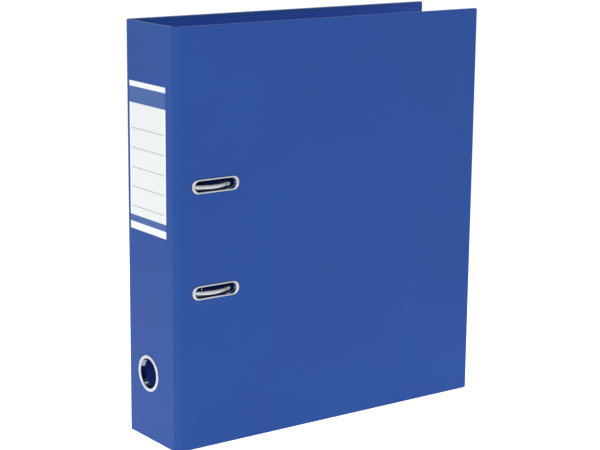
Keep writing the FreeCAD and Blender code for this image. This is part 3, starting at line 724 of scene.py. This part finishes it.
def mounting_plate():
    """Pressed base plate: turned-down rim, dished rivet seats, two axle loops and two lugs."""
    under = PLATE_RISE - SHEET
    centre = (PLATE_BEND, PLATE_RISE - PLATE_BEND)
    rim = arc(centre, PLATE_BEND, 90, 180)
    rim += [(0, SOFT), (SOFT, 0), (SHEET - SOFT, 0), (SHEET, SOFT)]
    rim += arc(centre, PLATE_BEND - SHEET, 180, 90)

    def rim_at(inset):
        return rounded_rectangle((PLATE_LOW[0] + inset, PLATE_LOW[2] + inset),
                                 (PLATE_HIGH[0] - inset, PLATE_HIGH[2] - inset), PLATE_CORNER - inset)
    inner = CUP_RADIUS - SHEET
    seat = arc((inner + CUP_BEND, PLATE_RISE - CUP_BEND), CUP_BEND, 90, 180)
    seat += arc((inner - CUP_BEND, SHEET + CUP_BEND), CUP_BEND, 0, -90)[1:]
    seat += [(RIVET_RADIUS, SHEET), (RIVET_RADIUS, 0), (CUP_RADIUS - SOFT, 0), (CUP_RADIUS, SOFT),
             (CUP_RADIUS, under)]
    walls = [(rim_at, rim)]
    for number in range(1, 5):
        spot = node_middle(f"base_rivet_{number}")
        walls.append((lambda radius, spot=spot: circle((spot.x, spot.z), radius), seat))
    for node, radius in (("post_upper", ROD_RADIUS), ("post_lower", ROD_RADIUS),
                         ("spring_rivet", RIVET_RADIUS)):
        spot = node_middle(node)
        walls.append((lambda size, spot=spot: circle((spot.x, spot.z), size),
                      [(radius, PLATE_RISE), (radius, under)]))
    bm = bmesh.new()
    pressing(bm, walls, above)
    foot = PLATE_RISE - 2 * SOFT
    loop = ROD_RADIUS + RUNNING_GAP + SHEET
    top = raised(AXLE) + loop
    outline = round_corners([(AXLE.x - loop, foot, 0), (AXLE.x + loop, foot, 0),
                             (AXLE.x + loop, top, loop - SOFT), (AXLE.x - loop, top, loop - SOFT)],
                            steps=12)
    bore = circle((AXLE.x, raised(AXLE)), ROD_RADIUS + RUNNING_GAP)
    for low, high in ((-LOOP_FAR, -LOOP_NEAR), (LOOP_NEAR, LOOP_FAR)):
        flat_sheet(bm, lambda inset: shrink(outline, inset), (AXLE.z + low, AXLE.z + high), SOFT, [bore],
                   lambda u, v, depth: Vector((u, BACK_FACE - v, depth)), 2)
    half = raised(PLATE_LOW) - raised(PIVOT)
    top = raised(PLATE_LOW)
    outline = round_corners([(PIVOT.z - half, foot, 0), (PIVOT.z + half, foot, 0),
                             (PIVOT.z + half, top, half - SOFT), (PIVOT.z - half, top, half - SOFT)],
                            steps=12)
    bore = circle((PIVOT.z, raised(PIVOT)), PIVOT_RADIUS)
    for face in (PIN_LOW[0] + PIN_HEAD, PIN_HIGH[0] - PIN_HEAD - SHEET):
        flat_sheet(bm, lambda inset: shrink(outline, inset), (face, face + SHEET), SOFT, [bore],
                   lambda u, v, depth: Vector((depth, BACK_FACE - v, u)), 2)
    finish_mesh("mounting_plate", bm, PRESSED, "back_cover", ("base_plate",))


def rivets():
    """Domed heads outside the back cover, and rolled ends with a dimple in the plate's seats."""
    shank = PANEL + SHEET
    for number in range(1, 5):
        node = f"base_rivet_{number}"
        low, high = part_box(node)
        head = (high[0] - low[0]) / 2
        base = node_middle(node)
        base.y = high[1]
        end = RIVET_PROUD + shank
        profile = [(radius, -along) for radius, along in dome(head, -RIVET_PROUD, 0)[::-1]]
        profile += [(RIVET_RADIUS, RIVET_PROUD), (RIVET_RADIUS, end), (ROLL_RADIUS - SOFT, end)]
        roll = ROLL_HIGH / 2
        profile += arc((ROLL_RADIUS - roll, end + roll), roll, -60, 90, 6)
        profile += [(RIVET_RADIUS / 2, end + ROLL_HIGH / 2), (0, end + ROLL_HIGH / 2)]
        turned(f"cover_rivet_{number}", node, profile, UPWARDS, base, NICKEL, "back_cover")
    low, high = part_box("spring_rivet")
    base = node_middle("spring_rivet")
    base.y = high[1]
    top = high[1] - low[1]
    profile = [(0, 0), (ROLL_RADIUS - SOFT, 0), (ROLL_RADIUS, SOFT), (ROLL_RADIUS, HEAD_HIGH),
               (RIVET_RADIUS, HEAD_HIGH), (RIVET_RADIUS, top - HEAD_HIGH)]
    profile += dome(ROLL_RADIUS, top - HEAD_HIGH, top)
    turned("leaf_rivet", "spring_rivet", profile, UPWARDS, base, NICKEL, "back_cover")


def arch_posts():
    """Fixed posts: head under the plate, chamfered collar above it, cone at the tip."""
    for name in ("upper", "lower"):
        node = f"post_{name}"
        low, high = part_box(node)
        base = node_middle(node)
        base.y = high[1]
        collar = HEAD_HIGH + SHEET
        tip = high[1] - low[1] - CONE_HIGH
        profile = [(0, 0), (COLLAR_RADIUS - SOFT, 0), (COLLAR_RADIUS, SOFT), (COLLAR_RADIUS, HEAD_HIGH),
                   (ROD_RADIUS, HEAD_HIGH), (ROD_RADIUS, collar), (COLLAR_RADIUS, collar),
                   (COLLAR_RADIUS, collar + SHEET - 2 * SOFT), (COLLAR_RADIUS - 2 * SOFT, collar + SHEET),
                   (ROD_RADIUS + SOFT, collar + SHEET), (ROD_RADIUS, collar + SHEET + SOFT),
                   (ROD_RADIUS, tip - SOFT), (CONE_TIP + CONE_HIGH, tip), (CONE_TIP, tip + CONE_HIGH),
                   (0, tip + CONE_HIGH)]
        turned(f"arch_post_{name}", node, profile, UPWARDS, base, NICKEL, "back_cover")


def pins_and_roller():
    """The lever's pin with its two domed heads, the roller and the pin that it runs on."""
    base = node_middle("lever_pivot_pin")
    base.x = PIN_LOW[0]
    length = PIN_HIGH[0] - PIN_LOW[0]
    head = (PIN_HIGH[2] - PIN_LOW[2]) / 2
    profile = [(radius, PIN_HEAD - along) for radius, along in dome(head, SOFT, PIN_HEAD)[::-1]]
    profile += [(head, PIN_HEAD), (PIVOT_RADIUS, PIN_HEAD), (PIVOT_RADIUS, length - PIN_HEAD),
                (head, length - PIN_HEAD)]
    profile += dome(head, length - PIN_HEAD + SOFT, length)
    turned("pivot_rivet", "lever_pivot_pin", profile, ACROSS, base, NICKEL, "back_cover")
    low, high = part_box("lever_roller")
    base = node_middle("lever_roller")
    base.x = low[0]
    wide, radius = high[0] - low[0], (high[2] - low[2]) / 2
    bore, chamfer = ROLLER_PIN + RUNNING_GAP, 3 * SOFT
    profile = [(bore, 0), (radius - chamfer, 0), (radius, chamfer), (radius, wide - chamfer),
               (radius - chamfer, wide), (bore, wide)]
    turned("cam_roller", "lever_roller", profile, ACROSS, base, NICKEL, "roller")
    low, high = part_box("roller_pin")
    base = node_middle("roller_pin")
    base.x = low[0]
    wide = high[0] - low[0]
    profile = [(radius, 2 * SOFT - along) for radius, along in dome(ROLLER_PIN, 0, 2 * SOFT)[::-1]]
    profile += dome(ROLLER_PIN, wide - 2 * SOFT, wide)
    turned("roller_axle", "roller_pin", profile, ACROSS, base, NICKEL, "lever")


def lever_channel():
    """Pressed lever: a bent web with round upper edges, two flanges with ears, and a raised thumb
    end with round corners."""
    over = raised(LEVER_LOW) - THUMB_RISE
    under = over - SHEET
    pivot, roller = raised(PIVOT), joint_point("roller_turn")
    thumb, tip = LEVER_LOW[2], LEVER_HIGH[2]
    bend_out, bend_in = thumb + THUMB_FLAT, thumb + THUMB_FLAT + THUMB_SLOPE
    web_end = PIVOT.z - WEB_END
    ear_low = raised(roller) - EAR
    tuck = 2 * SOFT                      # flange's upper edge, hidden in the web
    outline = round_corners([
        (bend_out + SHEET / 2, under + THUMB_RISE, 0),
        (bend_in + SHEET / 2, under - FLANGE_THIN, FLANGE_NECK),
        (roller.z - EAR_SLOPE - EAR, under - FLANGE_LOW, FLANGE_BELLY),
        (roller.z - EAR, ear_low, EAR_CORNER), (roller.z + EAR, ear_low, EAR_CORNER),
        (tip - END_CHAMFER, pivot - END_LOW, EAR_CORNER), (tip, pivot, END_CORNER),
        (tip - END_CHAMFER, over, END_TOP), (web_end - tuck, over, 0),
        (web_end - tuck, under + tuck, 0), (bend_in, under + tuck, 0),
        (bend_out + SHEET / 4, under + THUMB_RISE + tuck, 0)])
    holes = [circle((PIVOT.z, pivot), PIVOT_RADIUS + RUNNING_GAP),
             circle((roller.z, raised(roller)), ROLLER_PIN)]
    bm = bmesh.new()
    for face in (LEVER_LOW[0], LEVER_HIGH[0] - SHEET):
        flat_sheet(bm, lambda inset: shrink(outline, inset), (face, face + SHEET), SOFT, holes,
                   lambda u, v, depth: Vector((depth, BACK_FACE - v, u)), 2)
    half = (LEVER_HIGH[0] - LEVER_LOW[0]) / 2
    middle = over - SHEET / 2
    path = [(thumb + THUMB_CORNER + along, middle + THUMB_RISE, half - THUMB_CORNER + across)
            for along, across in arc((0, 0), THUMB_CORNER, 180, 90, 8)]
    bends = round_corners([(thumb + THUMB_CORNER, middle + THUMB_RISE, 0),
                           (bend_out, middle + THUMB_RISE, THUMB_BEND), (bend_in, middle, THUMB_BEND),
                           (web_end, middle, 0)], closed=False)
    path += [(along, height, half) for along, height in bends[1:]]
    strip(bm, path, SHEET, WEB_EDGE,
          lambda along, across, height: above(PIVOT.x + across, along, height))
    finish_mesh("lever_channel", bm, PRESSED, "lever", ("lever",))


def crank_leaf():
    """Blued leaf spring, flat at its rivet and bent up to the crank."""
    half = (LEAF_HIGH[2] - LEAF_LOW[2]) / 2
    middle_z = (LEAF_HIGH[2] + LEAF_LOW[2]) / 2
    low, high = PLATE_RISE + SPRING_THICK / 2, raised(LEAF_LOW) - SPRING_THICK / 2
    line = round_corners([(LEAF_HIGH[0], low, 0), (LEAF_HIGH[0] - SPRING_FLAT, low, SPRING_BEND),
                          (LEAF_LOW[0], high, 0)], closed=False)
    bm = bmesh.new()
    strip(bm, [(along, height, half) for along, height in line], SPRING_THICK, SPRING_EDGE,
          lambda along, across, height: above(along, middle_z + across, height))
    finish_mesh("crank_leaf", bm, SPRING, "back_cover", ("leaf_spring",))


def compressor():
    """Compressor bar with its turned-up lip, and the ridged nylon grips that it slides on."""
    low, top = raised(BAR_HIGH), raised(BAR_LOW)
    floor = low + SHEET
    bend = BAR_BEND - SHEET
    rim = arc((BAR_BEND, low + BAR_BEND), bend, -90, -180)
    rim += [(SHEET, top - SOFT), (SHEET - SOFT, top), (SOFT, top), (0, top - SOFT)]
    rim += arc((BAR_BEND, low + BAR_BEND), BAR_BEND, 180, 270)

    def rim_at(inset):
        return rounded_rectangle((BAR_LOW[0] + inset, BAR_LOW[2] + inset),
                                 (BAR_HIGH[0] - inset, BAR_HIGH[2] - inset), BAR_CORNER - inset)
    walls = [(rim_at, rim)]
    grips = [f"compressor_grip_{name}" for name in ("upper", "lower")]
    for node in grips:
        spot = node_middle(node)
        walls.append((lambda radius, spot=spot: circle((spot.x, spot.z), radius),
                      [(GRIP_NECK, floor), (GRIP_NECK, low)]))
    bm = bmesh.new()
    pressing(bm, walls, above)
    finish_mesh("slide_bar", bm, PRESSED, "compressor", ("compressor_bar",))

    for node in grips:
        box_low, box_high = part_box(node)
        base = node_middle(node)
        base.y = box_high[1]
        radius = (box_high[0] - box_low[0]) / 2
        tall = box_high[1] - box_low[1]
        step = GRIP_UNDER + SHEET
        bore = ROD_RADIUS + RUNNING_GAP
        profile = [(bore, 0), (GRIP_NECK - SOFT, 0), (GRIP_NECK, SOFT), (GRIP_NECK, step),
                   (radius - SOFT, step), (radius, step + SOFT)]
        profile += arc((radius - 4 * SOFT, tall - 4 * SOFT), 4 * SOFT, 0, 90)
        profile += [(bore + 3 * SOFT, tall), (bore, tall - 3 * SOFT)]

        def ripple(size, angle):
            share = max(size - GRIP_NECK, 0) / (radius - GRIP_NECK)
            return size - share ** 2 * RIDGE_DEEP * (0.5 - 0.5 * math.cos(GRIP_RIDGES * angle))
        turned(node.replace("compressor_grip", "slide_grip"), node, profile, UPWARDS, base, NYLON,
               "compressor", "grip_nylon", steps=GRIP_RIDGES * 8, ripple=ripple)


places = slot_places()
slots = [slot_outline(centre, straight, SLOT_RADIUS + SLOT_WALL) for centre, straight in places.values()]
cover_board("front", FRONT_LOW, FRONT_HIGH, FRONT_LOW[1], slots)
cover_board("back", BACK_LOW, BACK_HIGH, BACK_HIGH[1], [])
spine_board()
hinges()
for name, (centre, straight) in places.items():
    slot_rim(name, centre, straight)
finger_rim()
label()
mounting_plate()
rivets()
arch_posts()
pins_and_roller()
lever_channel()
crank_leaf()
compressor()

# ---------------------------------------------------------------- nodes that keep their CAD shape

# the boards are wrapped all round, and the arches are a bent round rod already
for node, material in (("front_board", GREY_BOARD), ("spine_board", GREY_BOARD),
                       ("back_board", GREY_BOARD), ("ring_arches", NICKEL)):
    mesh = frame["nodes"][node].data
    if mesh.materials:
        for index in range(len(mesh.materials)):
            mesh.materials[index] = material
    else:
        mesh.materials.append(material)
    mesh.polygons.foreach_set("use_smooth", [True] * len(mesh.polygons))
    mesh.set_sharp_from_angle(angle=SHARP)

# ---------------------------------------------------------------- stage, light and camera

FLOOR_HALF = 30.0                      # floor's half width
GLOW = 0.75                            # light that the floor gives of itself round the object
GLOW_OUTSIDE = 0.06                    # and beyond
GLOW_NEAR = 150 * MM
GLOW_FAR = 900 * MM
HORIZON = 1.38                         # the sweep's brightness at eye level and overhead
CEILING = 0.80
BRIGHT_SIDE = (-0.44, -0.12, 0.0)      # its bright side is the spine's
BOX_PLACE = (-1.6, -1.9, 1.6)
BOX_TARGET = (0.0, 0.0, 0.1)
BOX_SIZE = 1.2
BOX_POWER = 10.0
VIEW_ANGLES = (-35.96, 12.60, 0.56)    # camera's azimuth, elevation and roll, in degrees
VIEW_TARGET = Vector((-1.56, 4.38, 150.18)) * MM
VIEW_DISTANCE = 1369.0 * MM
SENSOR_WIDTH = 36.0
FOCAL_LENGTH = 103.6
VIEW_LIMIT = 100


def stage():
    """Pale floor that runs on to the background, with a painted glow: it gives off light of itself, most
    strongly round the object.
    """
    size = FLOOR_HALF
    mesh = bpy.data.meshes.new("floor")
    mesh.from_pydata([(-size, -size, 0), (size, -size, 0), (size, size, 0), (-size, size, 0)],
                     [], [(0, 1, 2, 3)])
    material, tree, surface, where = new_material("pale_floor", roughness=0.9)
    surface.inputs["Base Color"].default_value = linear("#fdfdfd")
    surface.inputs["Emission Color"].default_value = (1.0, 1.0, 1.0, 1.0)
    # painted light: the floor glows of itself, hardest round the object, which lifts the foot of its
    # covers
    reach = add_node(tree, "ShaderNodeVectorMath", {"operation": "LENGTH"}, {"Vector": where})
    glow = add_node(tree, "ShaderNodeMapRange", {"From Min": GLOW_NEAR, "From Max": GLOW_FAR,
                                                 "To Min": GLOW, "To Max": GLOW_OUTSIDE},
                    {"Value": reach.outputs["Value"]})
    tree.links.new(glow.outputs["Result"], surface.inputs["Emission Strength"])
    mesh.materials.append(material)
    floor = bpy.data.objects.new("floor", mesh)
    bpy.context.scene.collection.objects.link(floor)


def soft_box():
    """One large square light, high between the spine's side and the front's. The camera doesn't
    see it."""
    data = bpy.data.lights.new("soft_box", "AREA")
    data.shape = "SQUARE"
    data.size = BOX_SIZE
    data.energy = BOX_POWER
    light = bpy.data.objects.new("soft_box", data)
    place = Vector(BOX_PLACE)
    light.matrix_world = Matrix.LocRotScale(
        place, (place - Vector(BOX_TARGET)).to_track_quat("Z", "Y"), None)
    light.visible_camera = False
    bpy.context.scene.collection.objects.link(light)


def sweep():
    """White studio sweep, brighter at the spine's side and dimmer overhead."""
    world = bpy.data.worlds.new("studio")
    bpy.context.scene.world = world
    world.use_nodes = True
    tree = world.node_tree
    direction = add_node(tree, "ShaderNodeTexCoord").outputs["Generated"]
    split = add_node(tree, "ShaderNodeSeparateXYZ", None, {"Vector": direction})
    level = add_node(tree, "ShaderNodeMapRange", {"To Min": HORIZON, "To Max": CEILING},
                     {"Value": split.outputs["Z"]})
    side = add_node(tree, "ShaderNodeVectorMath", {"operation": "DOT_PRODUCT"})
    tree.links.new(direction, side.inputs[0])
    side.inputs[1].default_value = BRIGHT_SIDE
    total = add_node(tree, "ShaderNodeMath", {"operation": "ADD"})
    tree.links.new(level.outputs["Result"], total.inputs[0])
    tree.links.new(side.outputs["Value"], total.inputs[1])
    background = tree.nodes["Background"]
    background.inputs["Color"].default_value = (1.0, 1.0, 1.0, 1.0)
    tree.links.new(total.outputs["Value"], background.inputs["Strength"])


def camera():
    """Three-quarter view onto the spine and the front cover, from a little above."""
    azimuth, elevation, roll = (math.radians(angle) for angle in VIEW_ANGLES)
    back = Vector((math.sin(azimuth) * math.cos(elevation), -math.cos(azimuth) * math.cos(elevation),
                   math.sin(elevation)))
    right = (-back).cross(Vector((0, 0, 1))).normalized()
    up = back.cross(right)
    rolled_right = right * math.cos(roll) + up * math.sin(roll)
    rolled_up = up * math.cos(roll) - right * math.sin(roll)
    data = bpy.data.cameras.new("camera")
    data.sensor_width = SENSOR_WIDTH
    data.lens = FOCAL_LENGTH
    data.clip_end = VIEW_LIMIT
    item = bpy.data.objects.new("camera", data)
    item.matrix_world = Matrix((rolled_right, rolled_up, back)).transposed().to_4x4()
    item.matrix_world.translation = VIEW_TARGET + back * VIEW_DISTANCE
    bpy.context.scene.collection.objects.link(item)
    bpy.context.scene.camera = item


stage()
sweep()
soft_box()
camera()
bpy.context.scene.view_settings.view_transform = "Standard"
